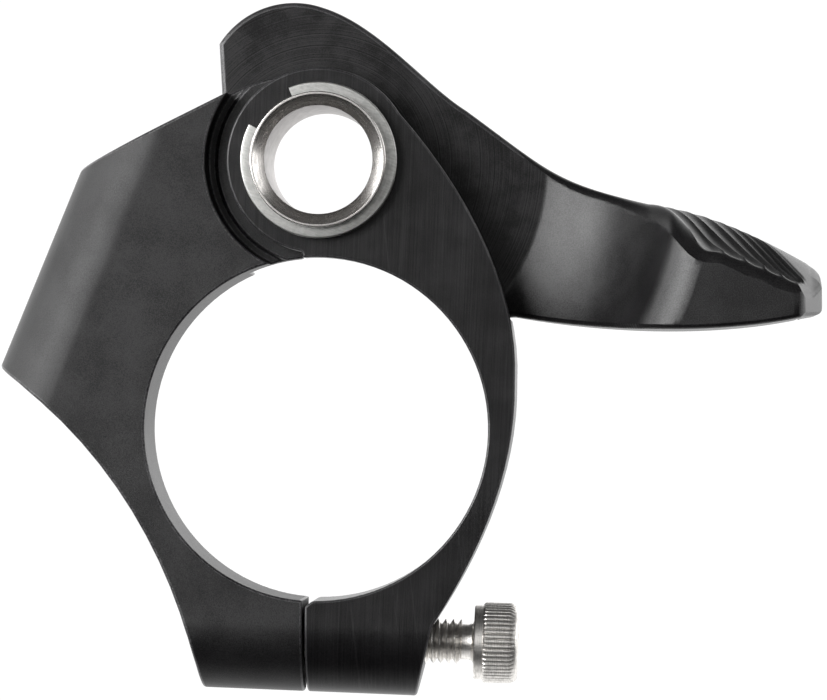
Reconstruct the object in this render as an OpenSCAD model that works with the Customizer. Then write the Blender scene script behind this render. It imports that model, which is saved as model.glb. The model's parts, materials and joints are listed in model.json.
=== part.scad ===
// Thumb lever for a bicycle handlebar, on a hinged clamp.
// Origin: centre of the handlebar bore, half way along the clamp.
// +Y runs along the handlebar, +Z is up, +X points towards the thumb paddle.

/* [Clamp] */
// Radius of the handlebar bore
bar_r = 11.1; // [11.0:0.05:11.2]
// Length of the clamp along the handlebar
clamp_len = 9; // [8.8:0.1:9.2]
// Angle by which the two halves stand apart at the split
split_deg = 0.3; // [0.25:0.05:0.6]

/* [Pivot] */
// Radius of the lever pivot axle
axle_r = 4.375; // [4.3:0.025:4.4]
// Radius of the hole through the axle
axle_bore_r = 3.5; // [3.2:0.1:3.6]
// Radius of the hinge knuckle on the swinging arm
knuckle_r = 6.0; // [5.9:0.05:6.0]
// Running clearance between the axle and what turns on it
run_clear = 0.045; // [0.03:0.005:0.08]

/* [Cable] */
// Radius of the seat for the cable housing
housing_r = 2.55; // [2.5:0.05:2.6]
// Depth of the housing seat
housing_depth = 8; // [7:0.5:8]
// Radius of the hole for the inner cable
cable_r = 0.9; // [0.8:0.05:1.0]
// Angle of the cable boss away from vertical
boss_deg = 22.3; // [22:0.1:22.5]

/* [Lever] */
// Thickness of the lever plate
plate_t = 4.6; // [4.4:0.1:4.6]
// Width of the thumb paddle along the handlebar
paddle_w = 13.6; // [12:0.2:14]
// Slope of the thumb pad across the paddle
pad_tilt_deg = 8.6; // [7:0.2:10]

/* [Bolt] */
// Radius of the clamp bolt's thread
bolt_r = 1.5; // [1.4:0.05:1.55]
// Length of the clamp bolt under its head
bolt_len = 12; // [11:0.5:12]
// Tilt of the clamp bolt below the horizontal
bolt_deg = 1.8; // [1:0.2:2.4]

/* [Hidden] */
$fn = 96;

half_len = clamp_len / 2;
pivot = [0.2, 17.35];
cut_far = 60;

// Stack of pieces on the axle, front to back along +Y
axle_front_y = -6.5;
ring_front_y = -5.5;
ring_t = 0.9;
knuckle_back_y = -2.35;
shim_t = 0.15;
web_front_y = -2.15;
web_back_y = -0.6;
plate_front_y = -0.2;
plate_back_y = plate_front_y + plate_t;
flange_t = 0.35;
bush_len = 2.2;
bush_gap = 0.03;
axle_head_y = plate_back_y + 0.85;
axle_back_y = axle_head_y + 1.05;
axle_head_r = 5.3;

// Recess for the knuckle and pocket for the lever in the body
recess_r = 7.4;
// Raised thrust face inside the recess, and the depth of the groove around it
thrust_r = 6.8;
groove_depth = 0.4;
pocket_near_r = 8.5;
pocket_far_r = 11.3;
pocket_wall = 1.1;

// Corners of the body's outline, seen from the front
body_top = [-6.0, 21.67];
// The web's upper edge, from the body's top corner to the hinge knuckle
web_top = [[-2.0, 22.95], [-3.2, 22.75], [-4.8, 22.25]];
boss_top = [-15.62, 16.87];
boss_len = 13.84;
lug_left = [-7.5, -17.0];
split_x = -0.9;
split_z = -17.6;

// Boss for the cable: unit vector along the cable, out of the mouth
boss_dir = [-sin(boss_deg), -cos(boss_deg)];
boss_in = [cos(boss_deg), -sin(boss_deg)];
boss_foot = boss_top + boss_len * boss_dir;
cable_line = boss_top + half_len * boss_in;
cable_y = 1.0;
mouth_t = 15.8;

// Rounded lower edge of both lugs, and the boss's half-round nose
lug_axis_z = -12.69;
lug_tilt = 2.25;
nose_r = half_len - 0.05;

// Lever
lobe = [-1.67, 22.05];
lobe_r = 5.78;
lobe_flat_x = -6.2;
lobe_from = 147.6;
lobe_to = 69.2;
hub_r = 6.0;
stop_z = 7.3;
stop_gap = 0.15;
bar_gap = 0.35;
face_r = 14.6;
bush_r = 5.04;
pinch_far = 8.1;
pinch_deg = 112;
pinch = pivot + pinch_far * [cos(pinch_deg), sin(pinch_deg)];
pinch_r = 1.25;
paddle_front_y = plate_back_y - paddle_w;
pinch_head_y = plate_back_y + 0.7;
pinch_head_r = 2.2;

// Clamp bolt, in its own frame with x along the bolt from the split
bolt_at = [-0.88, 0, -13.56];
bolt_head_x = 11.0;
bolt_head_len = 2.87;
bolt_head_r = 2.62;

function bezier(a, b, c, d, n = 14) =
    [for (i = [0:n]) let (t = i / n, u = 1 - t)
        u * u * u * a + 3 * u * u * t * b + 3 * u * t * t * c + t * t * t * d];

function arc(c, r, a0, a1, n = 16) =
    [for (i = [0:n]) let (a = a0 + (a1 - a0) * i / n) c + r * [cos(a), sin(a)]];

// Extrudes an outline drawn in X and Z between two depths
module slab(y0, y1) {
    translate([0, y1, 0]) rotate([90, 0, 0]) linear_extrude(height = y1 - y0) children();
}

// Straight round bar along Y
module rod_y(r, y0, y1, at = pivot) {
    translate([at.x, y1, at.y]) rotate([90, 0, 0]) cylinder(h = y1 - y0, r = r);
}

// Ring along Y
module ring_y(r_out, r_in, y0, y1, at = pivot) {
    difference() {
        rod_y(r_out, y0, y1, at);
        rod_y(r_in, y0 - 1, y1 + 1, at);
    }
}

// Profile drawn as radius and -Y, turned about the pivot
module turned_y() {
    translate([pivot.x, 0, pivot.y]) rotate([90, 0, 0]) rotate_extrude() children();
}

// Places children along the cable, z out of the boss's mouth
module on_cable(y) {
    translate([cable_line.x, y, cable_line.y]) rotate([0, 180 + boss_deg, 0]) children();
}

// Places children on the clamp bolt's axis, x towards the head
module on_bolt() {
    translate(bolt_at) rotate([0, bolt_deg, 0]) children();
}

// What is cut away so that both lugs end in a half round
module lug_rounding() {
    translate([0, 0, lug_axis_z]) rotate([0, lug_tilt, 0]) difference() {
        translate([-15, -half_len - 1, -8]) cube([30, clamp_len + 2, 8]);
        translate([-16, 0, 0]) rotate([0, 90, 0]) cylinder(h = 32, r = nose_r);
    }
}

// Bevel where the arm's edge of the split meets the bore
module split_corner() {
    slab(-half_len - 1, half_len + 1)
        polygon([[split_x - 0.4, -10.5], [-0.1, -10.5], [-0.1, -11.0], [split_x, -11.6], [split_x - 0.4, -11.6]]);
}

module body_outline() {
    flank = bezier(boss_foot, [-13.4, -0.9], [-8.9, -9.0], lug_left);
    polygon(concat([[split_x, pivot.y]], web_top, [body_top, boss_top], flank,
                   [[split_x, split_z + 0.3]]));
}

// What is cut away so that the cable boss has a half-round nose
module boss_rounding() {
    on_cable(0) translate([0, 0, -12]) linear_extrude(height = 50) difference() {
        translate([0, -half_len - 1]) square([12, clamp_len + 2]);
        circle(r = nose_r);
    }
}

// Room behind the web for the lever's hub and for its lobe
module lever_pocket() {
    rod_y(pocket_near_r, web_back_y, half_len + 1);
    slab(web_back_y, half_len + 1) difference() {
        translate(pivot) circle(r = pocket_far_r);
        circle(r = bar_r + pocket_wall);
    }
}

module main_body() {
    color("dimgray") difference() {
        union() {
            difference() {
                slab(-half_len, half_len) body_outline();
                rod_y(recess_r, -half_len - 1, web_front_y);
                ring_y(recess_r, thrust_r, web_front_y - 0.1, web_front_y + groove_depth);
                lever_pocket();
            }
            rod_y(knuckle_r - 0.05, web_front_y, web_back_y);
        }
        rod_y(bar_r, -half_len - 1, half_len + 1, [0, 0]);
        rod_y(axle_r + 0.01, -half_len - 1, half_len + 1);
        boss_rounding();
        lug_rounding();
        on_cable(cable_y) translate([0, 0, mouth_t - housing_depth]) cylinder(h = 20, r = housing_r);
        on_cable(cable_y) translate([0, 0, -5]) cylinder(h = 20, r = cable_r);
        on_bolt() translate([-5.5, 0, 0]) rotate([0, 90, 0]) cylinder(h = 8, r = bolt_r + 0.1);
    }
}

module arm_outline() {
    polygon(concat(
        [[split_x, 0], [split_x, split_z], [6.3, split_z], [7.5, -12.7]],
        bezier([7.5, -12.7], [10.9, -7.6], [12.95, -2.2], [12.85, 3]),
        bezier([12.85, 3], [13.2, 8.4], [10.2, 15.0], [5.2, 20.6]),
        [[4.3, 21.5], [split_x, pivot.y]]));
}

// The arm's edge of the split: the body's edge, turned about the hinge
module arm_side() {
    translate(pivot) rotate(split_deg) translate(-pivot)
        translate([split_x, -40]) square([cut_far, 80]);
}

module clamp_arm() {
    color("dimgray") difference() {
        union() {
            slab(-half_len, knuckle_back_y) intersection() {
                arm_outline();
                arm_side();
            }
            rod_y(knuckle_r, -half_len, knuckle_back_y);
            slab(knuckle_back_y - 0.5, half_len) intersection() {
                arm_outline();
                arm_side();
                translate([-10, -30]) square([40, 30 + stop_z - stop_gap]);
            }
        }
        rod_y(bar_r, -half_len - 1, half_len + 1, [0, 0]);
        rod_y(axle_r + run_clear, -half_len - 1, 0);
        lug_rounding();
        split_corner();
        on_bolt() translate([-3, 0, 0]) rotate([0, 90, 0]) cylinder(h = 16, r = bolt_r + 0.15);
    }
}

module lever_outline() {
    difference() {
        polygon(concat(
            [[lobe_flat_x, 19]],
            arc(lobe, lobe_r, lobe_from, lobe_to, 20),
            bezier([0.4, 27.45], [3.97, 26.25], [6.96, 22.4], [9.6, 20.75]),
            bezier([9.6, 20.75], [14.8, 16.95], [15.3, 16.05], [21.5, 14.55]),
            bezier([21.5, 14.55], [24.6, 14.4], [28.6, 12.6], [32.0, 10.6], 8),
            [[32.55, 9.95], [32.66, 9.3], [32.62, 7.9], [32.3, 7.35], [31.5, 7.2]],
            bezier([31.5, 7.2], [26, 6.0], [19, 6.2], [12.8, stop_z]),
            [[5, stop_z], [pivot.x, 9], pivot, [pivot.x - 5.95, pivot.y]]));
        circle(r = bar_r + bar_gap);
    }
}

// Hollow front of the paddle: turned about the pivot, so it clears the arm
module face_cutter() {
    wall_end = 68;
    wall_r = 10.8;
    wall_start = 12;
    edge_r = 4.0;
    wall_c = [face_r - wall_r * sin(wall_start), -plate_front_y + wall_r * cos(wall_start)];
    corner = wall_c + wall_r * [sin(wall_end), -cos(wall_end)];
    edge_c = corner + edge_r * [sin(wall_end), -cos(wall_end)];
    turned_y() polygon(concat(
        [[0, -plate_front_y]],
        arc(wall_c, wall_r, wall_start - 90, wall_end - 90, 20),
        arc(edge_c, edge_r, wall_end + 90, 90, 8),
        [[edge_c.x, 20], [0, 20]]));
}

// Everything above the sloping thumb pad
module pad_cutter() {
    translate([27.4, paddle_front_y, 10.54]) rotate([0, 20.9, 0]) rotate([pad_tilt_deg, 0, 0])
        translate([-8.4, -5, 0]) cube([25, 30, 10]);
}

module lever_bore() {
    rod_y(bush_r + 0.01, -cut_far, cut_far);
}

// Groove round the top of the lobe, where the cable lies
module cable_groove() {
    intersection() {
        translate([lobe.x, cable_y, lobe.y]) rotate([90, 0, 0]) rotate_extrude()
            translate([lobe_r, 0]) circle(r = cable_r, $fn = 24);
        slab(plate_front_y, plate_back_y) polygon(concat([lobe], arc(lobe, 20, 55, 170, 6)));
    }
}

module thumb_lever() {
    color([0.16, 0.16, 0.17]) difference() {
        union() {
            slab(paddle_front_y, plate_back_y) lever_outline();
            rod_y(hub_r, plate_front_y, plate_back_y);
        }
        face_cutter();
        pad_cutter();
        lever_bore();
        cable_groove();
        rod_y(pinch_r + 0.03, 0.6, plate_back_y + 1, pinch);
    }
}

module hollow_axle() {
    bevel = 0.72;
    color("silver") turned_y() difference() {
        polygon([[axle_bore_r, -axle_back_y], [axle_head_r, -axle_back_y],
                 [axle_head_r, -axle_head_y], [axle_r, -axle_head_y],
                 [axle_r, -axle_front_y - 0.12], [axle_r - 0.12, -axle_front_y],
                 [axle_bore_r + bevel, -axle_front_y], [axle_bore_r, -axle_front_y - bevel]]);
        translate([axle_r - 0.35, -ring_front_y - ring_t - 0.04]) square([1, ring_t + 0.08]);
    }
}

module retaining_ring() {
    gap_from = 112.5;
    gap_to = 153;
    color("silver") difference() {
        ring_y(5.05, axle_r - 0.34, ring_front_y, ring_front_y + ring_t);
        slab(ring_front_y - 1, ring_front_y + ring_t + 1)
            polygon(concat([pivot], arc(pivot, 12, gap_from, gap_to, 4)));
    }
}

module hinge_shim() {
    color("ivory") ring_y(5.8, axle_r + 0.02, web_front_y - shim_t, web_front_y);
}

// Flanged bush, pressed into one end of the lever's hub
module flanged_bush(y_face, inward) {
    y_in = y_face + inward * bush_len;
    y_out = y_face - inward * flange_t;
    ring_y(bush_r, axle_r + run_clear, min(y_face, y_in), max(y_face, y_in));
    ring_y(axle_head_r, axle_r + run_clear, min(y_face, y_out), max(y_face, y_out));
}

module lever_bush_front() {
    color("goldenrod") flanged_bush(plate_front_y, 1);
}

module lever_bush_rear() {
    color("goldenrod") flanged_bush(plate_back_y, -1);
}

module spring_washer() {
    color("silver") ring_y(axle_head_r, axle_r + 0.05, plate_back_y + flange_t + bush_gap, axle_head_y);
}

module clamp_bolt() {
    neck_len = 0.7;
    socket_r = 2.5 / sqrt(3);
    color("silver") on_bolt() rotate([0, 90, 0]) difference() {
        union() {
            translate([0, 0, bolt_head_x - bolt_len]) cylinder(h = bolt_len - neck_len, r = bolt_r);
            translate([0, 0, bolt_head_x - neck_len - 0.1]) cylinder(h = neck_len + 0.2, r = bolt_r - 0.2);
            translate([0, 0, bolt_head_x]) cylinder(h = bolt_head_len, r = bolt_head_r);
        }
        translate([0, 0, bolt_head_x + bolt_head_len - 1.5]) cylinder(h = 3, r = socket_r, $fn = 6);
    }
}

module cable_pinch_washer() {
    color("silver") ring_y(pinch_head_r + 0.1, pinch_r + 0.05, plate_back_y + 0.02, pinch_head_y, pinch);
}

module cable_pinch_screw() {
    color("silver") difference() {
        union() {
            rod_y(pinch_r, 1.0, pinch_head_y + 0.1, pinch);
            rod_y(pinch_head_r, pinch_head_y, pinch_head_y + 1.6, pinch);
        }
        translate([pinch.x, pinch_head_y + 3.7, pinch.y]) rotate([90, 0, 0])
            cylinder(h = 3, r = 1.5 / sqrt(3), $fn = 6);
    }
}

main_body();
clamp_arm();
thumb_lever();
hollow_axle();
retaining_ring();
hinge_shim();
lever_bush_front();
lever_bush_rear();
spring_washer();
clamp_bolt();
cable_pinch_screw();
cable_pinch_washer();
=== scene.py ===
"""Looks for the thumb lever and its hinged handlebar clamp.

Shapes are made in millimetres, and turn into metres where a piece is finished. The frame is the
CAD model's own: origin at the centre of the handlebar bore, +Y along the bar away from the
camera, +Z up, +X towards the thumb paddle.
"""
import json
import math

import bmesh
import bpy
import numpy as np
from mathutils import Matrix, Vector


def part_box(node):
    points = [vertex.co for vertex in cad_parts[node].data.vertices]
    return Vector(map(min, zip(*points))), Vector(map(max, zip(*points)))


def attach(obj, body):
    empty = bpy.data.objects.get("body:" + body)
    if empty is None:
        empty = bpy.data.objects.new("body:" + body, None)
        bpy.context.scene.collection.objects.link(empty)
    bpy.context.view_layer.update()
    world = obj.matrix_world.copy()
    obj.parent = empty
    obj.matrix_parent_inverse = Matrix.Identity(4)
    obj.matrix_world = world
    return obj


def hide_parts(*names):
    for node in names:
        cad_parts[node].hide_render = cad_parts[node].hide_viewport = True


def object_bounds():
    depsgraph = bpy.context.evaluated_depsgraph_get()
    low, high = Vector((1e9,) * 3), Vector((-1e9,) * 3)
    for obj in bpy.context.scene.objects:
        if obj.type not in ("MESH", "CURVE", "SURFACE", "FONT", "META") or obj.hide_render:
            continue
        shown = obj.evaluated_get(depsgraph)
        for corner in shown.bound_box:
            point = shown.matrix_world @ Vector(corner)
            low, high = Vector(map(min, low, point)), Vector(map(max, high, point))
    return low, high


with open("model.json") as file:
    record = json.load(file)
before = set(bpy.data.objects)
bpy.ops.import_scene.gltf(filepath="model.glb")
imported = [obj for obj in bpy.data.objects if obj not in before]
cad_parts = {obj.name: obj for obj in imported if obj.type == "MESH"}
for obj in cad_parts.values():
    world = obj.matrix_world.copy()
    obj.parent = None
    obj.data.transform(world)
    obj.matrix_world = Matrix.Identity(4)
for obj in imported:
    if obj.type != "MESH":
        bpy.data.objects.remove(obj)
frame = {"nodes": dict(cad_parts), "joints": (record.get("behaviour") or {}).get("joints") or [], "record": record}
cad_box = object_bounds()

MM = 0.001
JOINTS = {j["name"]: j for j in frame["joints"]}
PIVOT = Vector(JOINTS["lever_pivot"]["pos_m"]) / MM
BOLT_AXIS = Vector(JOINTS["clamp_bolt_travel"]["axis"]).normalized()


def low(node):
    """Lowest corner of a CAD node, in millimetres."""
    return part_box(node)[0] / MM


def high(node):
    """Highest corner of a CAD node, in millimetres."""
    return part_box(node)[1] / MM


def link(obj):
    bpy.context.scene.collection.objects.link(obj)
    return obj


# ---------------------------------------------------------------- camera, stage and light

CAMERA_AT = Vector((19.6, -398.5, 1.6))
CAMERA_AIM = Vector((6.3, -4.5, 5.1))
LENS_MM = 266.0
SENSOR_MM = 36.0
FLOOR_DROP = 0.4
FLOOR_SIZE = 6000.0


def aimed(at, aim):
    """World matrix at a point, looking down -Z at another, with +Y up."""
    return Matrix.Translation(at * MM) @ (aim - at).to_track_quat("-Z", "Y").to_matrix().to_4x4()


def make_camera():
    data = bpy.data.cameras.new("camera")
    data.lens = LENS_MM
    data.sensor_width = SENSOR_MM
    data.clip_start = 0.01
    data.clip_end = 50.0
    camera = link(bpy.data.objects.new("camera", data))
    camera.matrix_world = aimed(CAMERA_AT, CAMERA_AIM)
    bpy.context.scene.camera = camera


def area_light(name, at, aim, size, watts):
    data = bpy.data.lights.new(name, "AREA")
    data.shape = "RECTANGLE"
    data.size, data.size_y = size[0] * MM, size[1] * MM
    data.energy = watts
    light = link(bpy.data.objects.new(name, data))
    light.matrix_world = aimed(Vector(at), Vector(aim))
    light.visible_camera = False


# ---------------------------------------------------------------- shader nodes

SEEN_WHITE = 1.05


class Graph:
    """Short names for the nodes that every procedural material here is made of."""

    def __init__(self, tree):
        self.tree = tree

    def add(self, kind, **values):
        node = self.tree.nodes.new(kind)
        for name, value in values.items():
            setattr(node, name, value)
        return node

    def link(self, start, end):
        self.tree.links.new(start, end)

    def put(self, socket, value):
        """Links a socket to another one's output, or sets it to a plain value."""
        if isinstance(value, bpy.types.NodeSocket):
            self.link(value, socket)
        else:
            socket.default_value = value

    def fill(self, node, **sockets):
        """Sets or links a node's inputs by name, with _ for a space."""
        for name, value in sockets.items():
            self.put(node.inputs[name.replace("_", " ")], value)
        return node

    def place(self, size_mm, turn_deg=(0, 0, 0)):
        """Object coordinates counted in steps of size_mm along each axis."""
        coord = self.add("ShaderNodeTexCoord")
        mapping = self.add("ShaderNodeMapping", vector_type="TEXTURE")
        self.fill(mapping, Vector=coord.outputs["Object"])
        mapping.inputs["Rotation"].default_value = [math.radians(v) for v in turn_deg]
        mapping.inputs["Scale"].default_value = [v * MM for v in size_mm]
        return mapping.outputs["Vector"]

    def noise(self, vector, detail=2.0, rough=0.5):
        node = self.add("ShaderNodeTexNoise")
        self.fill(node, Vector=vector, Scale=1.0, Detail=detail, Roughness=rough)
        return node.outputs["Fac"]

    def spread(self, value, start, end, low_out, high_out):
        node = self.add("ShaderNodeMapRange", interpolation_type="SMOOTHSTEP")
        self.fill(node, Value=value, From_Min=start, From_Max=end, To_Min=low_out, To_Max=high_out)
        return node.outputs["Result"]

    def math(self, kind, a, b=0.0):
        node = self.add("ShaderNodeMath", operation=kind)
        for socket, value in zip(node.inputs, (a, b)):
            self.put(socket, value)
        return node.outputs[0]

    def blend(self, a, share_a, b, share_b):
        """Weighted sum of two values."""
        return self.math("ADD", self.math("MULTIPLY", a, share_a), self.math("MULTIPLY", b, share_b))

    def colour(self, fac, dark, light):
        node = self.add("ShaderNodeMix", data_type="RGBA")
        self.link(fac, node.inputs["Factor"])
        node.inputs["A"].default_value = (*dark, 1)
        node.inputs["B"].default_value = (*light, 1)
        return node.outputs["Result"]

    def bump(self, height, strength, depth_mm):
        node = self.add("ShaderNodeBump")
        self.fill(node, Height=height, Strength=strength, Distance=depth_mm * MM)
        return node.outputs["Normal"]

    def axis_radius(self):
        """Distance from the pivot's axis, in millimetres."""
        coord = self.add("ShaderNodeTexCoord")
        shift = self.add("ShaderNodeVectorMath", operation="SUBTRACT")
        self.link(coord.outputs["Object"], shift.inputs[0])
        shift.inputs[1].default_value = (PIVOT.x * MM, 0, PIVOT.z * MM)
        flat = self.add("ShaderNodeVectorMath", operation="MULTIPLY")
        self.link(shift.outputs[0], flat.inputs[0])
        flat.inputs[1].default_value = (1 / MM, 0, 1 / MM)
        size = self.add("ShaderNodeVectorMath", operation="LENGTH")
        self.link(flat.outputs[0], size.inputs[0])
        return size.outputs["Value"]

    def rings(self, pitch_mm, detail=2.0):
        """Turned lines about the pivot: noise that changes only with the distance from it."""
        node = self.add("ShaderNodeTexNoise", noise_dimensions="1D")
        self.fill(node, W=self.math("DIVIDE", self.axis_radius(), pitch_mm), Scale=1.0, Detail=detail)
        return node.outputs["Fac"]

    def white_to_camera(self, kind, strength):
        """White where the camera sees it, and light of another strength everywhere else."""
        lit = self.fill(self.add(kind), Color=(1, 1, 1, 1), Strength=strength)
        seen = self.fill(self.add(kind), Color=(1, 1, 1, 1), Strength=SEEN_WHITE)
        path = self.add("ShaderNodeLightPath")
        pick = self.add("ShaderNodeMixShader")
        self.link(path.outputs["Is Camera Ray"], pick.inputs["Fac"])
        self.link(lit.outputs[0], pick.inputs[1])
        self.link(seen.outputs[0], pick.inputs[2])
        return pick.outputs[0]


def new_material(name):
    mat = bpy.data.materials.new(name)
    mat.use_nodes = True
    return mat, Graph(mat.node_tree), mat.node_tree.nodes["Principled BSDF"]


def shade(value, factor):
    return tuple(v * factor for v in value)


GRAIN_DEPTH_MM = 0.012


def anodised(name, tint, rough, sheen, grain_mm=0.06, contrast=0.3, marks=None):
    """Black anodised aluminium. marks(graph) gives tool marks or scratches from 0 to 1."""
    mat, g, shader = new_material(name)
    grain = g.noise(g.place((grain_mm,) * 3), detail=3.0, rough=0.65)
    cloud = g.noise(g.place((2.6, 2.6, 2.6)), detail=3.0, rough=0.55)
    tone = g.blend(grain, 0.65, cloud, 0.35)
    height = grain
    if marks:
        lines = marks(g)
        tone = g.blend(tone, 0.65, lines, 0.35)
        height = g.blend(grain, 0.55, lines, 0.45)
    dark, light = 1 - contrast, 1 + contrast
    colour = g.colour(g.spread(tone, 0.36, 0.64, 0.0, 1.0), shade(tint, dark), shade(tint, light))
    g.link(colour, shader.inputs["Base Color"])
    shine = g.spread(tone, 0.36, 0.64, sheen * dark, sheen * light)
    g.link(shine, shader.inputs["Specular IOR Level"])
    g.link(g.spread(tone, 0.3, 0.7, rough - 0.05, rough + 0.05), shader.inputs["Roughness"])
    g.link(g.bump(height, 0.6, GRAIN_DEPTH_MM), shader.inputs["Normal"])
    return mat


def straight_marks(graph):
    """Faint straight scratches and grinding lines that run up the piece."""
    fine = graph.noise(graph.place((0.09, 4.0, 9.0), (0, 2.5, 0)), detail=3.0, rough=0.6)
    few = graph.noise(graph.place((0.16, 6.0, 22.0), (0, -6, 0)), detail=1.0)
    scratch = graph.spread(few, 0.68, 0.76, 0.0, 1.0)
    return graph.blend(fine, 0.9, scratch, 0.22)


def ring_marks(graph):
    """Face-milling lines around the pivot, broken up by patches."""
    rings = graph.rings(0.085, detail=1.0)
    patch = graph.noise(graph.place((1.6, 1.6, 1.6)), detail=2.0)
    return graph.math("MULTIPLY", rings, graph.spread(patch, 0.35, 0.6, 0.7, 1.15))


STEEL_CONTRAST = 0.25
STEEL_MARK_MM = 0.004


def steel(name, tint, rough, marks):
    """Bare stainless steel with tool marks, handling scratches and a little dullness."""
    mat, g, shader = new_material(name)
    lines = marks(g)
    dull = g.noise(g.place((0.5, 0.5, 0.5)), detail=4.0, rough=0.65)
    pits = g.spread(g.noise(g.place((0.07, 0.07, 0.07)), detail=1.0), 0.68, 0.78, 0.0, 1.0)
    tone = g.blend(lines, 0.55, dull, 0.45)
    tone = g.math("SUBTRACT", tone, g.math("MULTIPLY", pits, 0.12))
    spread = g.spread(tone, 0.32, 0.68, 0.0, 1.0)
    colour = g.colour(spread, shade(tint, 1 - STEEL_CONTRAST), shade(tint, 1 + STEEL_CONTRAST))
    g.link(colour, shader.inputs["Base Color"])
    g.link(g.spread(tone, 0.3, 0.7, rough + 0.1, rough - 0.06), shader.inputs["Roughness"])
    height = g.math("ADD", lines, g.math("MULTIPLY", dull, 0.4))
    g.link(g.bump(height, 0.5, STEEL_MARK_MM), shader.inputs["Normal"])
    shader.inputs["Metallic"].default_value = 1.0
    return mat


def turned_marks(graph):
    return graph.rings(0.06, detail=3.0)


def sheet_marks(graph):
    streaks = graph.noise(graph.place((0.9, 0.9, 0.12), (0, 20, 0)), detail=3.0)
    return graph.blend(streaks, 0.6, graph.rings(0.2), 0.4)


def bolt_marks(graph):
    return graph.noise(graph.place((0.07, 0.5, 0.5), (0, 1.8, 0)), detail=3.0)


def polymer(name, tint, rough):
    """Moulded bearing polymer: fine filler specks and a dull, slightly waxy face."""
    mat, g, shader = new_material(name)
    specks = g.noise(g.place((0.11, 0.11, 0.11)), detail=3.0, rough=0.7)
    cloud = g.noise(g.place((1.5, 1.5, 1.5)), detail=2.0)
    tone = g.blend(specks, 0.6, cloud, 0.4)
    colour = g.colour(g.spread(tone, 0.35, 0.65, 0.0, 1.0), shade(tint, 0.8), shade(tint, 1.15))
    g.link(colour, shader.inputs["Base Color"])
    g.link(g.spread(tone, 0.3, 0.7, rough + 0.08, rough - 0.08), shader.inputs["Roughness"])
    g.link(g.bump(specks, 0.4, 0.01), shader.inputs["Normal"])
    return mat


BLACK = (0.0052, 0.0048, 0.0054)
# Edge tint, lighter than BLACK: partly worn anodising, partly a painted highlight along the rounded edges
EDGE_WEAR_AND_HIGHLIGHT = (0.03, 0.029, 0.031)
BODY = anodised("body_anodised", BLACK, 0.5, sheen=0.5, grain_mm=0.07)
BODY_EDGE = anodised("body_edge", EDGE_WEAR_AND_HIGHLIGHT, 0.4, sheen=0.7, grain_mm=0.12, contrast=0.5)
ARM = anodised("arm_anodised", BLACK, 0.4, sheen=0.38, contrast=0.35, marks=straight_marks)
ARM_EDGE = anodised("arm_edge", EDGE_WEAR_AND_HIGHLIGHT, 0.38, sheen=0.6, contrast=0.5, marks=straight_marks)
LEVER = anodised("lever_blasted", BLACK, 0.4, sheen=0.6, grain_mm=0.08)
LEVER_EDGE = anodised("lever_edge", EDGE_WEAR_AND_HIGHLIGHT, 0.4, sheen=0.7, contrast=0.5)
LEVER_FACE = anodised("lever_machined", BLACK, 0.42, sheen=0.36, contrast=0.42, marks=ring_marks)
AXLE = steel("axle_turned", (0.62, 0.60, 0.58), 0.27, turned_marks)
# Same turned steel, with a darker tint inside the bore as painted shade
AXLE_BORE_SHADE = steel("axle_bore_painted_shade", (0.37, 0.35, 0.34), 0.4, turned_marks)
RING = steel("ring_sheet", (0.47, 0.47, 0.455), 0.34, sheet_marks)
BOLT = steel("bolt_steel", (0.74, 0.72, 0.69), 0.36, bolt_marks)
BUSH = polymer("bush_polymer", (0.52, 0.40, 0.20), 0.5)
SHIM = polymer("shim_ptfe", (0.75, 0.74, 0.70), 0.45)

# ---------------------------------------------------------------- mesh helpers

SHARP_DEG = 32.0
FLAT_DEG = 1.0
WELD = 0.0003
LAST_WELD = 0.0005
CAD_WELD = 0.001
EDGE_SLOT = 1
BORE_SLOT = 1
FACE_SLOT = 2


def from_bmesh(name, bm):
    mesh = bpy.data.meshes.new(name)
    bm.to_mesh(mesh)
    bm.free()
    return link(bpy.data.objects.new(name, mesh))


def baked(obj):
    """Applies an object's modifiers."""
    graph = bpy.context.evaluated_depsgraph_get()
    mesh = bpy.data.meshes.new_from_object(obj.evaluated_get(graph))
    obj.modifiers.clear()
    obj.data = mesh
    return obj


def cleaned(obj, flat_deg=0.1):
    """Joins doubled points, and makes flat faces and straight edges whole again."""
    bm = bmesh.new()
    bm.from_mesh(obj.data)
    bmesh.ops.remove_doubles(bm, verts=bm.verts, dist=WELD)
    bmesh.ops.dissolve_degenerate(bm, edges=bm.edges, dist=WELD)
    bmesh.ops.dissolve_limit(bm, angle_limit=math.radians(flat_deg), verts=bm.verts, edges=bm.edges)
    bm.to_mesh(obj.data)
    bm.free()
    return obj


def cut(obj, cutter, operation="DIFFERENCE"):
    """Exact boolean with another object, which is then removed."""
    mod = obj.modifiers.new("cut", "BOOLEAN")
    mod.object = cutter
    mod.operation = operation
    mod.solver = "EXACT"
    baked(obj)
    bpy.data.objects.remove(cutter)
    return cleaned(obj)


def bevelled(obj, width, segments=3, keep=None):
    """Rounds every sharp edge, or only those that keep(one end, other end) picks."""
    while len(obj.data.materials) <= EDGE_SLOT:
        obj.data.materials.append(None)
    bm = bmesh.new()
    bm.from_mesh(obj.data)
    weight = bm.edges.layers.float.new("bevel_weight_edge")
    for edge in bm.edges:
        sharp = len(edge.link_faces) == 2 and edge.calc_face_angle() > math.radians(SHARP_DEG)
        if sharp and (keep is None or keep(*(v.co for v in edge.verts))):
            edge[weight] = 1.0
    bm.to_mesh(obj.data)
    bm.free()
    mod = obj.modifiers.new("edges", "BEVEL")
    mod.width = width
    mod.segments = segments
    mod.limit_method = "WEIGHT"
    mod.use_clamp_overlap = False
    mod.miter_outer = "MITER_ARC"
    # The rounded edges take the edge material, whose lighter tint is partly wear and partly painted highlight
    mod.material = EDGE_SLOT
    return baked(obj)


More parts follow.
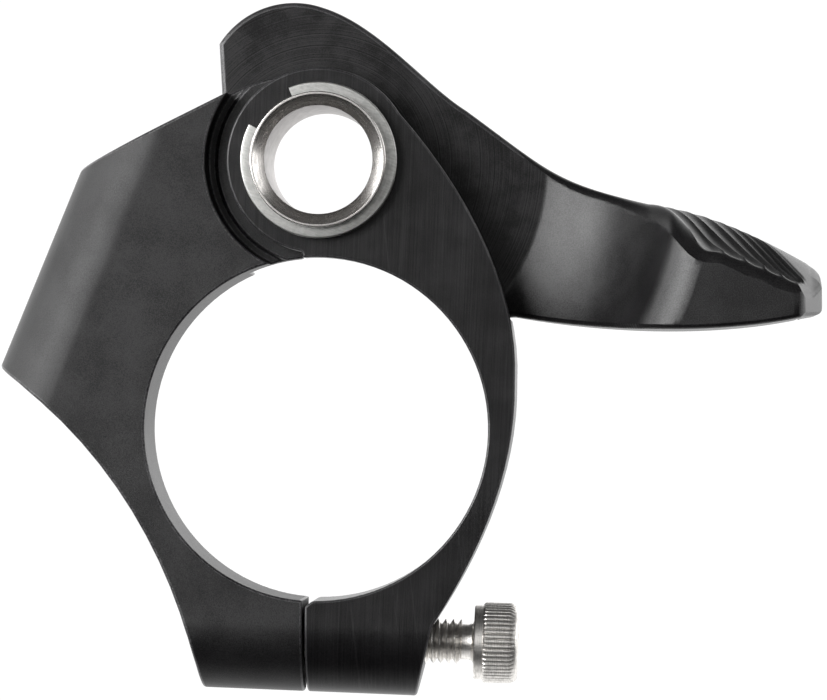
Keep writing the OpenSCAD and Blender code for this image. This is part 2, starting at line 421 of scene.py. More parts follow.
def finished(obj, name, body, node, materials, weighted=True):
    """Turns a piece from millimetres into metres and hands it to its CAD body."""
    mesh = obj.data
    bm = bmesh.new()
    bm.from_mesh(mesh)
    bmesh.ops.remove_doubles(bm, verts=bm.verts, dist=LAST_WELD)
    bmesh.ops.dissolve_degenerate(bm, edges=bm.edges, dist=LAST_WELD)
    bmesh.ops.delete(bm, geom=[v for v in bm.verts if not v.link_faces], context="VERTS")
    bmesh.ops.recalc_face_normals(bm, faces=bm.faces)
    for face in bm.faces:
        face.smooth = True
    limit = math.radians(SHARP_DEG)
    for edge in bm.edges:
        edge.smooth = len(edge.link_faces) != 2 or edge.calc_face_angle(0.0) < limit
    bm.to_mesh(mesh)
    bm.free()
    mesh.transform(Matrix.Scale(MM, 4))
    obj.name = name
    mesh.name = name
    # Clearing the materials sets every face back to the first, so the choices are put back
    choices = [face.material_index for face in mesh.polygons]
    mesh.materials.clear()
    for material in materials:
        mesh.materials.append(material)
    mesh.polygons.foreach_set("material_index", choices)
    if weighted:
        mod = obj.modifiers.new("normals", "WEIGHTED_NORMAL")
        mod.keep_sharp = True
    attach(obj, body)
    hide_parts(node)


def cad_copy(node):
    """A CAD node's mesh in millimetres, with its flat faces whole again."""
    bm = bmesh.new()
    bm.from_mesh(frame["nodes"][node].data)
    bmesh.ops.scale(bm, vec=(1 / MM,) * 3, verts=bm.verts)
    bmesh.ops.remove_doubles(bm, verts=bm.verts, dist=CAD_WELD)
    bmesh.ops.dissolve_limit(bm, angle_limit=math.radians(FLAT_DEG), verts=bm.verts, edges=bm.edges)
    for face in bm.faces:
        face.material_index = 0
    return from_bmesh(node + "_shape", bm)


def bezier(a, b, c, d, n):
    """Points along a cubic curve, ends included."""
    t = np.linspace(0, 1, n + 1)[:, None]
    a, b, c, d = (np.array(p, float) for p in (a, b, c, d))
    return (1 - t) ** 3 * a + 3 * (1 - t) ** 2 * t * b + 3 * (1 - t) * t ** 2 * c + t ** 3 * d


def arc(centre, radius, start_deg, end_deg, n):
    a = np.radians(np.linspace(start_deg, end_deg, n + 1))[:, None]
    return np.array(centre, float) + radius * np.hstack([np.cos(a), np.sin(a)])


def rounded(corners, radius, n=4):
    """A closed profile with every corner rounded, or each with its own radius."""
    radii = radius if isinstance(radius, (list, tuple)) else [radius] * len(corners)
    out = []
    for i, corner in enumerate(corners):
        here = Vector(corner)
        back = Vector(corners[i - 1]) - here
        ahead = Vector(corners[(i + 1) % len(corners)]) - here
        if radii[i] <= 0:
            out.append(tuple(here))
            continue
        half = back.angle(ahead) / 2
        reach = min(radii[i] / math.tan(half), 0.49 * back.length, 0.49 * ahead.length)
        start, end = here + back.normalized() * reach, here + ahead.normalized() * reach
        for k in range(n + 1):
            t = k / n
            out.append(tuple((1 - t) ** 2 * start + 2 * t * (1 - t) * here + t * t * end))
    return out


def walled(name, outline, other):
    """Solid between two outlines that have the same number of points."""
    bm = bmesh.new()
    one = [bm.verts.new(p) for p in outline]
    two = [bm.verts.new(p) for p in other]
    bm.faces.new(one)
    bm.faces.new(two[::-1])
    for i in range(len(one)):
        j = (i + 1) % len(one)
        bm.faces.new((one[i], two[i], two[j], one[j]))
    bmesh.ops.recalc_face_normals(bm, faces=bm.faces)
    return from_bmesh(name, bm)


def prism(name, outline, y0, y1):
    """Solid from an outline in X and Z, between two depths."""
    return walled(name, [(x, y0, z) for x, z in outline], [(x, y1, z) for x, z in outline])


def axis_matrix(at, direction):
    """Local Z along a direction, from a point."""
    return Matrix.Translation(at) @ Vector(direction).to_track_quat("Z", "Y").to_matrix().to_4x4()


def depth_line(x, z):
    """Local Z along +Y, through a point in X and Z."""
    return Matrix.Translation((x, 0, z)) @ Matrix.Rotation(math.radians(-90), 4, "X")


PIVOT_LINE = depth_line(PIVOT.x, PIVOT.z)


def around(place, radius, angle, height):
    """Point at a distance from a placed Z axis, at an angle about it."""
    return place @ Vector((radius * math.cos(angle), radius * math.sin(angle), height))


def skinned(name, rings, closed):
    """Skin over rings of points: closed into a loop of rings, or capped at both ends."""
    bm = bmesh.new()
    rows = [[bm.verts.new(p) for p in ring] for ring in rings]
    pairs = list(zip(rows, rows[1:]))
    if closed:
        pairs.append((rows[-1], rows[0]))
    for one, two in pairs:
        for i in range(len(one)):
            j = (i + 1) % len(one)
            bm.faces.new((one[i], one[j], two[j], two[i]))
    if not closed:
        bm.faces.new(rows[0][::-1])
        bm.faces.new(rows[-1])
    bmesh.ops.recalc_face_normals(bm, faces=bm.faces)
    return from_bmesh(name, bm)


def turned(name, profile, place, sides=160, closed=True, wave=None):
    """Turns a profile of (radius, height) about local Z. A radius may be a function of the angle.

    A closed profile makes a ring, and an open one is capped at both ends. wave(angle) shifts
    the height of every point.
    """
    rings = []
    for radius, height in profile:
        ring = []
        for k in range(sides):
            a = 2 * math.pi * k / sides
            r = radius(a) if callable(radius) else radius
            ring.append(around(place, r, a, height + (wave(a) if wave else 0.0)))
        rings.append(ring)
    return skinned(name, rings, closed)


def swept_arc(name, profile, place, start_deg, end_deg, n=60):
    """Sweeps a closed profile of (radius, height) about local Z through part of a turn."""
    rings = []
    for k in range(n + 1):
        a = math.radians(start_deg + (end_deg - start_deg) * k / n)
        rings.append([around(place, r, a, h) for r, h in profile])
    return skinned(name, rings, closed=False)


def cylinder(name, radius, y0, y1, at, sides=128):
    """Plain round cutter along Y."""
    return turned(name, [(radius, y0), (radius, y1)], depth_line(*at), sides, closed=False)


# ---------------------------------------------------------------- clamp halves

BODY_BEVEL = 0.18
ARM_BEVEL = 0.14
HALF_LEN = high("main_body").y
NOSE_R = HALF_LEN - 0.05
NOSE_SLACK = 0.01
AXIS_SLACK = 0.02
LUG_Z = -12.69
LUG_TILT = math.radians(2.25)
LUG_AXIS = (Vector((0, 0, LUG_Z)), Vector((-math.sin(LUG_TILT), 0, -math.cos(LUG_TILT))))
SEAT = next(m for m in frame["record"]["mounts"] if m["name"] == "cable_housing_seat")
SEAT_AXIS = Vector(SEAT["axis"])
BOSS_AXIS = (Vector(SEAT["pos_m"]) / MM, Vector((SEAT_AXIS.z, 0, -SEAT_AXIS.x)))


def flush_rounding(obj, axis):
    """Widens a rounded end by the hair that it lacks, so that it runs out of the flats unseen."""
    at, outward = axis
    for vert in obj.data.vertices:
        offset = vert.co - at
        offset.y = 0
        if offset.dot(outward) > -AXIS_SLACK and abs(vert.co.y) < NOSE_R + NOSE_SLACK:
            vert.co.y *= HALF_LEN / NOSE_R
    return cleaned(obj, FLAT_DEG)


def make_clamp_halves():
    body = flush_rounding(flush_rounding(cad_copy("main_body"), LUG_AXIS), BOSS_AXIS)
    finished(bevelled(body, BODY_BEVEL), "clamp_body", "body", "main_body", [BODY, BODY_EDGE])
    arm = flush_rounding(cad_copy("clamp_arm"), LUG_AXIS)
    finished(bevelled(arm, ARM_BEVEL), "swing_arm", "arm", "clamp_arm", [ARM, ARM_EDGE])


# ---------------------------------------------------------------- lever

PLATE_FRONT_Y = -0.2
PLATE_BACK_Y = high("thumb_lever").y
PADDLE_FRONT_Y = low("thumb_lever").y
PADDLE_W = PLATE_BACK_Y - PADDLE_FRONT_Y
LOBE = (-1.67, 22.05)
LOBE_R = 5.775
HUB_R = 6.0
HUB_BORE_R = 5.05
STOP_Z = 7.3
BAR_CLEAR_R = 11.45
FACE_R = 14.6
WALL_R = 11.62
WALL_DEG = (12.0, 68.0)
CORNER_R = 3.2
TIP_CORNER_R = (0.9, 3.0, 1.9)
TIP_FACET = ((31.3, PADDLE_FRONT_Y), (32.64, PADDLE_FRONT_Y + 4.8))
FLUSH = 0.02
LEVER_BEVEL = 0.3
BEVEL_SEGMENTS = 4
CABLE_R = 0.9
CABLE_Y = 1.0
CABLE_SIDES = 24
CABLE_DEG = (50, 165)
PINCH_OUT = 8.1
PINCH_TURN = math.radians(112)
PINCH = (PIVOT.x + PINCH_OUT * math.cos(PINCH_TURN), PIVOT.z + PINCH_OUT * math.sin(PINCH_TURN))
PINCH_HOLE_R = 1.28
PINCH_FLOOR_Y = 0.6

TOP_EDGE = np.vstack([
    bezier((0.4, 27.45), (3.97, 26.25), (6.96, 22.4), (9.6, 20.75), 40),
    bezier((9.6, 20.75), (14.8, 16.95), (15.3, 16.05), (21.5, 14.55), 40)[1:],
    bezier((21.5, 14.55), (24.6, 14.4), (28.6, 12.6), (32.0, 10.6), 30)[1:],
])
UNDER_EDGE = bezier((31.5, 7.2), (26, 6.0), (19, 6.2), (12.8, STOP_Z), 40)


def lever_outline():
    tip = rounded([(32.0, 10.6), (32.6, 9.95), (32.65, 7.4), (31.5, 7.2)], [0, 0.5, 0.6, 0], 6)
    return np.vstack([
        [(-6.2, 19.0)],
        arc(LOBE, LOBE_R, 147.6, 70.5, 40),
        TOP_EDGE,
        tip[1:],
        UNDER_EDGE[1:],
        [(5, STOP_Z), (PIVOT.x, 9)],
        arc((PIVOT.x, PIVOT.z), HUB_R, -90, -180, 24),
    ])


WALL_C = (FACE_R - WALL_R * math.sin(math.radians(WALL_DEG[0])),
          -PLATE_FRONT_Y + WALL_R * math.cos(math.radians(WALL_DEG[0])))
WALL_END = arc(WALL_C, WALL_R, WALL_DEG[1] - 90, WALL_DEG[1] - 90, 1)[0]
CORNER_C = (WALL_END[0] + CORNER_R * math.sin(math.radians(WALL_DEG[1])),
            WALL_END[1] - CORNER_R * math.cos(math.radians(WALL_DEG[1])))


def wall_depth(radius):
    """How far the lever's front stands towards -Y, at distances from the pivot."""
    radius = np.asarray(radius, float)
    hollow = WALL_C[1] - np.sqrt(np.clip(WALL_R ** 2 - (radius - WALL_C[0]) ** 2, 0, None))
    corner = CORNER_C[1] + np.sqrt(np.clip(CORNER_R ** 2 - (CORNER_C[0] - radius) ** 2, 0, None))
    depth = np.where(radius < FACE_R, -PLATE_FRONT_Y, np.where(radius < WALL_END[0], hollow, corner))
    return np.where(radius > CORNER_C[0], -PADDLE_FRONT_Y, np.minimum(depth, -PADDLE_FRONT_Y))


def face_cutter():
    """Hollow front of the lever, turned about the pivot."""
    far = 20.0  # well in front of the lever
    hub = 0.5  # inside the hub's bore
    profile = np.vstack([
        [(hub, -PLATE_FRONT_Y)],
        arc(WALL_C, WALL_R, WALL_DEG[0] - 90, WALL_DEG[1] - 90, 48),
        arc(CORNER_C, CORNER_R, WALL_DEG[1] + 90, 90, 16)[1:],
        [(CORNER_C[0], far), (hub, far)],
    ])
    return turned("face_cutter", [(r, -d) for r, d in profile], PIVOT_LINE, sides=360)


def smoothstep(value, start, end):
    t = np.clip((value - start) / (end - start), 0, 1)
    return t * t * (3 - 2 * t)


# The thumb pad: a crest at the back and an S-shaped fall to the front. X is along the lever, T runs
# from 0 at the back to 1 at the front, and U is where a slanting scallop line meets the front edge
PAD_SHEAR = 6.2
PAD_FALL = 2.1
PAD_FALL_X = (21.5, 25.5)
PAD_FALL_T = (0.33, 1.0)
PAD_FALL_LOSS = 0.03

# Scallops across the pad
FIRST_VALLEY = 25.8
VALLEY_PITCH = 1.53
PITCH_LOSS = 0.075
VALLEYS = 7
SCALLOP_BACK = 0.06
SCALLOP_FRONT = 0.3
SCALLOP_T = (0.05, 0.8)
SCALLOP_INSET = (0.35, 0.95)
SCALLOPS_END_U = (32.2, 33.2)

# Smooth neck between the plate and the pad
NECK_X = (18.5, 24.5)
NECK_EDGE = 0.45
NECK_EDGE_X = (12.0, 17.0)
NECK_END_U = (23.8, 26.2)
NECK_REACH = 2.6
NECK_DROP = 1.3

# Rounded lip along the pad's front edge, tallest in its middle
LIP_REACH = 1.0
LIP_TALL = 0.5
LIP_MIDDLE_X = 28.6
LIP_SPREAD = 2.2

# Rolled edges, and how they are settled against the hollow front
ROLL_END = 0.92
OVERRUN = 0.1
SETTLE_STEPS = 16
SETTLE_RATE = 0.22
FIRST_GUESS = 0.8
EDGE_ROLL = 0.3
UNDER_ROLL = 0.4
UNDER_ROLL_X = (11.0, 12.5)
ROLL_X = 9.7
ROLL_RUN = 0.8
LEAST_ROLL = 0.001

# Reach and fineness of the two cutters
CUT_CLEAR = 0.015
PAD_ROWS = 140
EDGE_ROWS = 12
BACK_RUN = 0.6
FRONT_RUN = 0.25
COLUMNS_PER_SCALLOP = 14
NECK_STEP = 0.14
TIP_STEP = 0.16
TIP_RUN = 0.8
PAD_START_U = 12.5
UNDER_X = (10.6, 33.0)
UNDER_END_X = 36.0
ABOVE_Z = 30.0
BELOW_Z = -5.0


def valley_at(k):
    """Where scallop k meets the front edge. Halves are ridges."""
    return FIRST_VALLEY + VALLEY_PITCH * k - PITCH_LOSS * k * k


def inside_edge(x, y, z):
    """How far a point lies behind the lever's front surface or inside the paddle's round tip."""
    front = y + wall_depth(np.hypot(x - PIVOT.x, z - PIVOT.z))
    (x0, y0), (x1, y1) = TIP_FACET
    facet = ((x0 - x) * (y1 - y0) + (y - y0) * (x1 - x0)) / math.hypot(x1 - x0, y1 - y0)
    return np.minimum(front, np.minimum(facet, TIP_FACET[1][0] - x))


def rolled(distance, reach, height):
    """Drop of a rounded edge that reaches in by one size and down by another.

    Its last few degrees run on straight, so that it meets the front at a clean angle.
    """
    away = np.clip(1 - distance / reach, 0, 1 + OVERRUN / reach)
    steep = ROLL_END / math.sqrt(1 - ROLL_END ** 2)
    curve = 1 - np.sqrt(1 - np.minimum(away, ROLL_END) ** 2)
    return height * (curve + steep * np.maximum(away - ROLL_END, 0))


def pad_height(x, y, u, k):
    """Height of the pad's surface. u is where a scallop line meets the front edge.

    k counts scallops, and is below -0.5 on the smooth neck. The front lies at a depth that
    changes with the height, so the two are settled together.
    """
    top = np.interp(x, TOP_EDGE[:, 0], TOP_EDGE[:, 1])
    t = np.clip((PLATE_BACK_Y - y) / PADDLE_W, 0, 1)
    neck = smoothstep(x, *NECK_X) * (1 - smoothstep(u, *NECK_END_U))
    lip = smoothstep(u, *NECK_END_U)
    tall = LIP_TALL * np.exp(-((x - LIP_MIDDLE_X) / LIP_SPREAD) ** 2)
    thin = EDGE_ROLL * smoothstep(x, ROLL_X, ROLL_X + ROLL_RUN) + NECK_EDGE * smoothstep(x, *NECK_EDGE_X)
    thin = thin * (1 - lip) + LEAST_ROLL
    reach = thin + NECK_REACH * neck + LIP_REACH * lip
    height = thin + NECK_DROP * neck + (LIP_REACH + tall) * lip
    fall = PAD_FALL * smoothstep(x, *PAD_FALL_X) * (1 - PAD_FALL_LOSS * np.clip(x - PAD_FALL_X[1], 0, None))
    fall = fall * smoothstep(t, *PAD_FALL_T)
    z = top - fall - FIRST_GUESS * height
    for _ in range(SETTLE_STEPS):
        inset = inside_edge(x, y, z)
        z = z + SETTLE_RATE * (top - fall - rolled(inset, reach, height) - z)
    phase = 2 * ((k + 0.5) % 1.0) - 1
    depth = SCALLOP_BACK + (SCALLOP_FRONT - SCALLOP_BACK) * smoothstep(t, *SCALLOP_T)
    depth = depth * smoothstep(inset, *SCALLOP_INSET) * (1 - smoothstep(u, *SCALLOPS_END_U))
    scallop = np.where(k > -0.5, depth * (1 - phase ** 2), 0.0)
    return z + CUT_CLEAR - scallop


def under_height(x, y, *_):
    """Height of the paddle's underside, with its rounded front edge."""
    under = np.interp(x, UNDER_EDGE[::-1, 0], UNDER_EDGE[::-1, 1])
    roll = UNDER_ROLL * smoothstep(x, *UNDER_ROLL_X) + LEAST_ROLL
    return under - CUT_CLEAR + rolled(inside_edge(x, y, under + FIRST_GUESS * roll), roll, roll)


def depth_rows(radius):
    """Stations across the paddle, closer together where its front edge turns."""
    steps = np.sin(np.linspace(0.04, 1, EDGE_ROWS) * math.pi / 2)
    rows = list(np.linspace(PLATE_BACK_Y + BACK_RUN, PADDLE_FRONT_Y + 1.1 * radius, PAD_ROWS))
    return rows + list(PADDLE_FRONT_Y + radius * (1 - steps)) + [PADDLE_FRONT_Y - FRONT_RUN]


def field_cutter(name, columns, rows, height, shear, far_z):
    """Solid between a height surface over X and Y and a flat face at far_z."""
    bm = bmesh.new()
    grid = []
    u, k = np.array(columns).T
    for y in rows:
        t = np.clip((PLATE_BACK_Y - y) / PADDLE_W, 0, 1)
        x = u - shear * (1 - t)
        z = height(x, np.full_like(x, y), u, k)
        grid.append([bm.verts.new((x[i], y, z[i])) for i in range(len(x))])
    lid = [[bm.verts.new((v.co.x, v.co.y, far_z)) for v in (row[0], row[-1])] for row in grid]
    for j in range(len(grid) - 1):
        one, two = grid[j], grid[j + 1]
        for i in range(len(one) - 1):
            bm.faces.new((one[i], one[i + 1], two[i + 1], two[i]))
        bm.faces.new((lid[j][0], lid[j + 1][0], lid[j + 1][1], lid[j][1]))
        bm.faces.new((one[0], two[0], lid[j + 1][0], lid[j][0]))
        bm.faces.new((one[-1], lid[j][1], lid[j + 1][1], two[-1]))
    bm.faces.new(grid[0] + [lid[0][1], lid[0][0]])
    bm.faces.new(grid[-1][::-1] + [lid[-1][0], lid[-1][1]])
    bmesh.ops.recalc_face_normals(bm, faces=bm.faces)
    return from_bmesh(name, bm)


def pad_cutter():
    """Everything above the pad, with its scalloped surface as the underside."""
    ridge = valley_at(-0.5)
    columns = [(u, -1.0) for u in np.arange(PAD_START_U, ridge - NECK_STEP / 2, NECK_STEP)]
    for i in range((VALLEYS + 1) * COLUMNS_PER_SCALLOP + 1):
        k = -0.5 + i / COLUMNS_PER_SCALLOP
        columns.append((valley_at(k), k))
    last, k = columns[-1]
    columns += [(u, k) for u in np.arange(last + TIP_STEP, last + PAD_SHEAR + TIP_RUN, TIP_STEP)]
    return field_cutter("pad_cutter", columns, depth_rows(LIP_REACH), pad_height, PAD_SHEAR, ABOVE_Z)


def under_cutter():
    """Everything below the paddle's underside."""
    columns = [(u, 0.0) for u in np.append(np.arange(*UNDER_X, TIP_STEP), UNDER_END_X)]
    return field_cutter("under_cutter", columns, depth_rows(UNDER_ROLL), under_height, 0.0, BELOW_Z)


def tip_keeper():
    """What the paddle's rounded end keeps, seen from above."""
    front, back = PADDLE_FRONT_Y - 0.01, PLATE_BACK_Y + 0.01
    start, floor, roof = -20, -5, 35  # past the lever on every other side
    corners = [(start, back), (start, front), *TIP_FACET, (TIP_FACET[1][0], back)]
    outline = rounded(corners, [0, 0, *TIP_CORNER_R], 12)
    return walled("tip_keeper", [(x, y, floor) for x, y in outline], [(x, y, roof) for x, y in outline])


def cable_cutter():
    """Tube around the top of the lobe, where the cable lies."""
    place = Matrix.Translation((LOBE[0], CABLE_Y, LOBE[1])) @ Matrix.Rotation(math.radians(90), 4, "X")
    angles = [2 * math.pi * k / CABLE_SIDES for k in range(CABLE_SIDES)]
    ring = [(LOBE_R + CABLE_R * math.cos(a), CABLE_R * math.sin(a)) for a in angles]
    return swept_arc("cable_cutter", ring, place, *CABLE_DEG)


def plate_edge(one, two):
    """Edges of the lever's flat back, and of its flat front near the hub."""
    slack = 0.01
    front_end_x = ROLL_X + 4.0
    back = min(one.y, two.y) > PLATE_BACK_Y - slack
    front = all(abs(p.y - PLATE_FRONT_Y) < slack and p.x < front_end_x for p in (one, two))
    return back or front


def make_lever():
    lever = prism("lever_shape", lever_outline(), PADDLE_FRONT_Y, PLATE_BACK_Y)
    cut(lever, tip_keeper(), "INTERSECT")
    cut(lever, face_cutter())
    reach = 20  # right through the lever, both ways
    cut(lever, cylinder("bar_cutter", BAR_CLEAR_R, -reach, reach, (0, 0), 256))
    cut(lever, cylinder("hub_cutter", HUB_BORE_R, -reach, reach, (PIVOT.x, PIVOT.z)))
    bevelled(lever, LEVER_BEVEL, BEVEL_SEGMENTS, keep=plate_edge)
    cut(lever, pad_cutter())
    cut(lever, under_cutter())
    cut(lever, cable_cutter())
    cut(lever, cylinder("pinch_cutter", PINCH_HOLE_R, PINCH_FLOOR_Y, PLATE_BACK_Y + 1, PINCH, 48))
    for face in lever.data.polygons:
        faces_front = face.normal.y < -0.99
        if faces_front and abs(face.center.y - PLATE_FRONT_Y) < FLUSH:
            face.material_index = FACE_SLOT
    finished(lever, "lever", "lever", "thumb_lever", [LEVER, LEVER_EDGE, LEVER_FACE])


# ---------------------------------------------------------------- axle, ring, bushes and washers

def make_axle():
    front, back = low("hollow_axle").y, high("hollow_axle").y
    head_r = high("hollow_axle").x - PIVOT.x
    axle_r, bore_r, bevel, head_t = 4.375, 3.5, 0.7, 1.05
    groove_r, groove_w = 4.025, 0.98
    groove_y = low("retaining_ring").y - 0.04
    groove_end = groove_y + groove_w
    corners = [(bore_r, back), (head_r, back), (head_r, back - head_t), (axle_r, back - head_t),
               (axle_r, groove_end), (groove_r, groove_end), (groove_r, groove_y),
               (axle_r, groove_y), (axle_r, front), (bore_r + bevel, front), (bore_r, front + bevel)]
    radii = [0.25, 0.2, 0.12, 0.1, 0.05, 0.05, 0.05, 0.05, 0.07, 0.03, 0.06]
    axle = turned("axle_shape", rounded(corners, radii), PIVOT_LINE, sides=256)
    # Faces inside the bore take the darker steel, which paints the shade in the hollow
    for face in axle.data.polygons:
        if math.hypot(face.center.x - PIVOT.x, face.center.z - PIVOT.z) < bore_r + 0.01:
            face.material_index = BORE_SLOT
    finished(axle, "pivot_axle", "body", "hollow_axle", [AXLE, AXLE_BORE_SHADE])


RING_GAP_DEG = (112.5, 153.0)


def make_retaining_ring():
    y0, y1 = low("retaining_ring").y, high("retaining_ring").y
    outer, inner = 5.05, 4.045
    corners = [(inner, y0), (outer, y0), (outer, y1), (inner, y1)]
    profile = rounded(corners, [0.05, 0.1, 0.06, 0.05], 4)
    # On the pivot line an angle runs the other way round from the front, so the gap is mirrored
    ring = swept_arc("ring_shape", profile, PIVOT_LINE, -RING_GAP_DEG[0], 360 - RING_GAP_DEG[1], 220)
    finished(ring, "snap_ring", "body", "retaining_ring", [RING])


def washer(name, node, body, material, inner, edge, wave=None, thickness=None):
    """Flat or wavy washer about the pivot, inside the space its CAD node holds."""
    y0, y1 = low(node).y, high(node).y
    outer = high(node).x - PIVOT.x
    if thickness:
        middle = (y0 + y1) / 2
        y0, y1 = middle - thickness / 2, middle + thickness / 2
    profile = rounded([(inner, y0), (outer, y0), (outer, y1), (inner, y1)], edge, 3)
    obj = turned(name + "_shape", profile, PIVOT_LINE, sides=192, wave=wave)
    finished(obj, name, body, node, [material])


def make_bush(name, node, inward):
    """Flanged bush: the flange stands outside the hub's face and the sleeve goes inward."""
    y0, y1 = low(node).y, high(node).y
    outer, sleeve, bore, flange = high(node).x - PIVOT.x, 5.04, 4.42, 0.35
    face, end = (y0, y1) if inward > 0 else (y1, y0)
    seat = face + inward * flange
    corners = [(bore, face), (outer, face), (outer, seat), (sleeve, seat), (sleeve, end), (bore, end)]
    profile = rounded(corners, [0.12, 0.1, 0.05, 0.04, 0.15, 0.12], 3)
    obj = turned(name + "_shape", profile, PIVOT_LINE)
    finished(obj, name, "lever", node, [BUSH])


def make_pivot_pieces():
    make_axle()
    make_retaining_ring()
    washer("thrust_shim", "hinge_shim", "body", SHIM, 4.4, 0.03)
    washer("wave_washer", "spring_washer", "body", RING, 4.43, 0.05,
           wave=lambda a: 0.11 * math.sin(3 * a), thickness=0.22)
    make_bush("bush_front", "lever_bush_front", 1)
    make_bush("bush_rear", "lever_bush_rear", -1)


# ---------------------------------------------------------------- screws

BOLT_AT = Vector((-0.88, 0.0, -13.56))
THREAD_CREST = 0.12
RINGS_PER_PITCH = 10


def thread_radius(major, minor, pitch, height):
    """Radius of a right-hand thread at a height, as a function of the angle."""
    def radius(a):
        phase = (height / pitch - a / (2 * math.pi)) % 1.0
        side = abs(2 * phase - 1)
        flank = min(max((side - THREAD_CREST) / (1 - 2 * THREAD_CREST), 0.0), 1.0)
        return minor + (major - minor) * flank
    return radius


def knurl_radius(radius, teeth, depth):
    return lambda a: radius - depth * (1 - abs(math.sin(teeth * a / 2)) ** 0.45)


def hexagon_radius(across_flats):
    return lambda a: across_flats / 2 / math.cos((a + math.pi / 6) % (math.pi / 3) - math.pi / 6)


def screw_profile(major, minor, pitch, tip, neck, seat, head):
    """Profile of a socket head screw, tip first. head is a list of (radius, height)."""
    profile = [(minor * 0.72, tip), (minor * 0.97, tip + 0.22)]
    threaded = neck - tip - 0.3
    steps = int(threaded / pitch * RINGS_PER_PITCH)
    for i in range(steps + 1):
        height = tip + 0.25 + threaded * i / steps
        profile.append((thread_radius(major, minor, pitch, height), height))
    profile += [(minor, neck), (minor * 0.99, (neck + seat) / 2)]
    profile += [(minor * 1.05, seat - 0.16), (minor * 1.25, seat)]
    return profile + head


def make_clamp_bolt():
    seat, length, shoulder = 11.0, 2.87, 0.6
    end = seat + length
    outer, shoulder_r, teeth = 2.62, 2.43, 48
    knurl = knurl_radius(outer, teeth, 0.07)
    shallow = knurl_radius(outer - 0.1, teeth, 0.02)
    knurl_start, knurl_step, knurl_rings = seat + shoulder + 0.1, 0.17, 10
    socket = hexagon_radius(2.5)
    socket_end = end - 1.5
    head = [(shoulder_r - 0.08, seat), (shoulder_r, seat + 0.08), (shoulder_r, seat + shoulder - 0.04),
            (shallow, seat + shoulder)]
    head += [(knurl, knurl_start + knurl_step * i) for i in range(knurl_rings + 1)]
    head += [(shallow, end - 0.3), (outer - 0.14, end - 0.2), (outer - 0.24, end - 0.07),
             (outer - 0.42, end), (1.75, end), (1.66, end - 0.06),
             (socket, end - 0.2), (socket, socket_end), (0.5, socket_end - 0.3)]
    major, minor, pitch, tip = 1.45, 1.16, 0.5, -1.0
    profile = screw_profile(major, minor, pitch, tip, seat - 0.8, seat, head)
    bolt = turned("bolt_shape", profile, axis_matrix(BOLT_AT, BOLT_AXIS), sides=480, closed=False)
    finished(bolt, "knurled_bolt", "bolt", "clamp_bolt", [BOLT], weighted=False)


def make_pinch_screw():
    y_tip, y_end = low("cable_pinch_screw").y, high("cable_pinch_screw").y
    head_t, head_r = 1.6, 2.2
    seat = y_end - head_t
    place = depth_line(*PINCH)
    socket = hexagon_radius(1.5)
    head = [(head_r - 0.12, seat), (head_r, seat + 0.12), (head_r, y_end - 0.25),
            (head_r - 0.08, y_end - 0.1), (head_r - 0.28, y_end), (1.1, y_end), (1.0, y_end - 0.08),
            (socket, y_end - 0.18), (socket, y_end - 0.9), (0.3, y_end - 1.1)]
    major, minor, pitch = 1.23, 1.0, 0.45
    profile = screw_profile(major, minor, pitch, y_tip, seat - 0.25, seat, head)
    screw = turned("pinch_screw_shape", profile, place, sides=120, closed=False)
    finished(screw, "pinch_screw", "pinch", "cable_pinch_screw", [BOLT], weighted=False)
    y0, y1 = low("cable_pinch_washer").y, high("cable_pinch_washer").y
    ring = rounded([(1.3, y0), (2.3, y0), (2.3, y1), (1.3, y1)], [0.04, 0.12, 0.12, 0.04], 3)
    disc = turned("pinch_washer_shape", ring, place, sides=96)
    finished(disc, "pinch_washer", "pinch", "cable_pinch_washer", [RING])


# ---------------------------------------------------------------- world and stage

FRONT_LIGHT = 0.8
BACK_LIGHT = 1.9
CEILING = 0.06
FLOOR_GREY = 0.5
FLOOR_ROUGH = 0.9
FLOOR_LIGHT_Y = (-5 * MM, 1 * MM)
FLOOR_LIGHT = (0.02, 1.3)


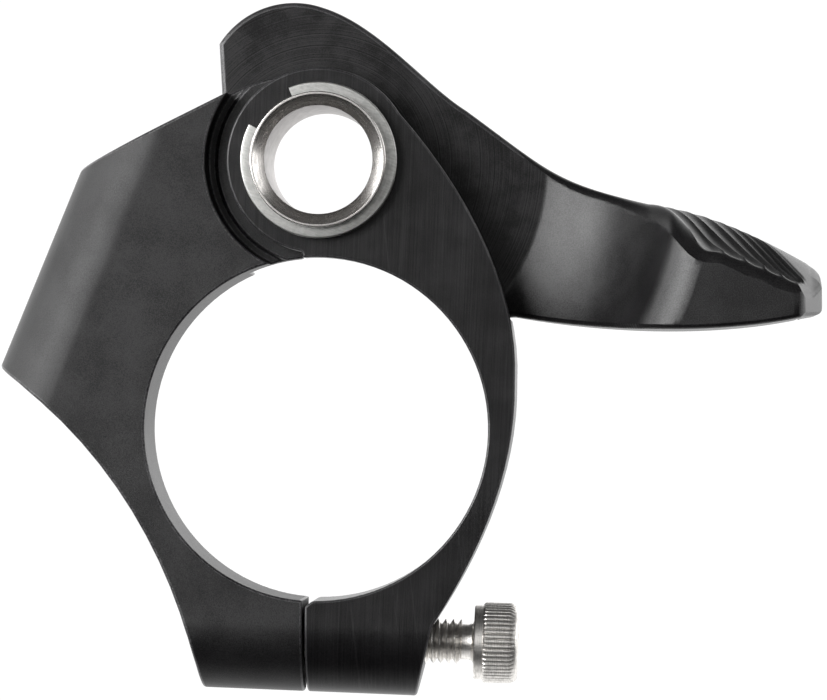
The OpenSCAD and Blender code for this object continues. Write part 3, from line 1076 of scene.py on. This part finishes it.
def make_world():
    """Studio light: white behind, a dim level band in front, dark above, white to the camera."""
    world = bpy.data.worlds.new("studio")
    bpy.context.scene.world = world
    world.use_nodes = True
    g = Graph(world.node_tree)
    world.node_tree.nodes.clear()
    coord = g.add("ShaderNodeTexCoord")
    split = g.add("ShaderNodeSeparateXYZ")
    g.link(coord.outputs["Generated"], split.inputs[0])
    tilt = g.math("ABSOLUTE", split.outputs["Z"])
    front = g.spread(tilt, 0.15, 0.5, FRONT_LIGHT, CEILING)
    back = g.spread(tilt, 0.2, 0.85, BACK_LIGHT, CEILING)
    behind = g.spread(split.outputs["Y"], -0.1, 0.6, 0.0, 1.0)
    strength = g.blend(back, behind, front, g.math("SUBTRACT", 1.0, behind))
    out = g.add("ShaderNodeOutputWorld")
    g.link(g.white_to_camera("ShaderNodeBackground", strength), out.inputs["Surface"])


def make_stage():
    """Pale plain floor: white to the camera, and bright only behind the object as a light."""
    mesh = bpy.data.meshes.new("floor")
    z = cad_box[0].z - FLOOR_DROP * MM
    half = FLOOR_SIZE / 2 * MM
    corners = [(-half, -half, z), (half, -half, z), (half, half, z), (-half, half, z)]
    mesh.from_pydata(corners, [], [(0, 1, 2, 3)])
    floor = link(bpy.data.objects.new("floor", mesh))
    mat, g, shader = new_material("floor_white")
    shader.inputs["Base Color"].default_value = (FLOOR_GREY, FLOOR_GREY, FLOOR_GREY, 1)
    shader.inputs["Roughness"].default_value = FLOOR_ROUGH
    coord = g.add("ShaderNodeTexCoord")
    split = g.add("ShaderNodeSeparateXYZ")
    g.link(coord.outputs["Object"], split.inputs[0])
    behind = g.spread(split.outputs["Y"], *FLOOR_LIGHT_Y, *FLOOR_LIGHT)
    surface = mat.node_tree.nodes["Material Output"].inputs["Surface"]
    g.link(g.white_to_camera("ShaderNodeEmission", behind), surface)
    mesh.materials.append(mat)


def make_lights():
    area_light("key_left", (-272, -293, 50), (0, -5, 6), (350, 310), 2.85)
    area_light("side_left", (-400, -14, 25), (0, -5, 6), (120, 460), 1.0)
    area_light("side_right", (370, -40, 25), (10, -5, 6), (190, 460), 0.6)
    area_light("rim_right", (230, 330, 330), (25, 0, 8), (300, 300), 0.2)


make_camera()
make_world()
make_stage()
make_lights()
bpy.context.scene.view_settings.view_transform = "Standard"

make_clamp_halves()
make_lever()
make_pivot_pieces()
make_clamp_bolt()
make_pinch_screw()
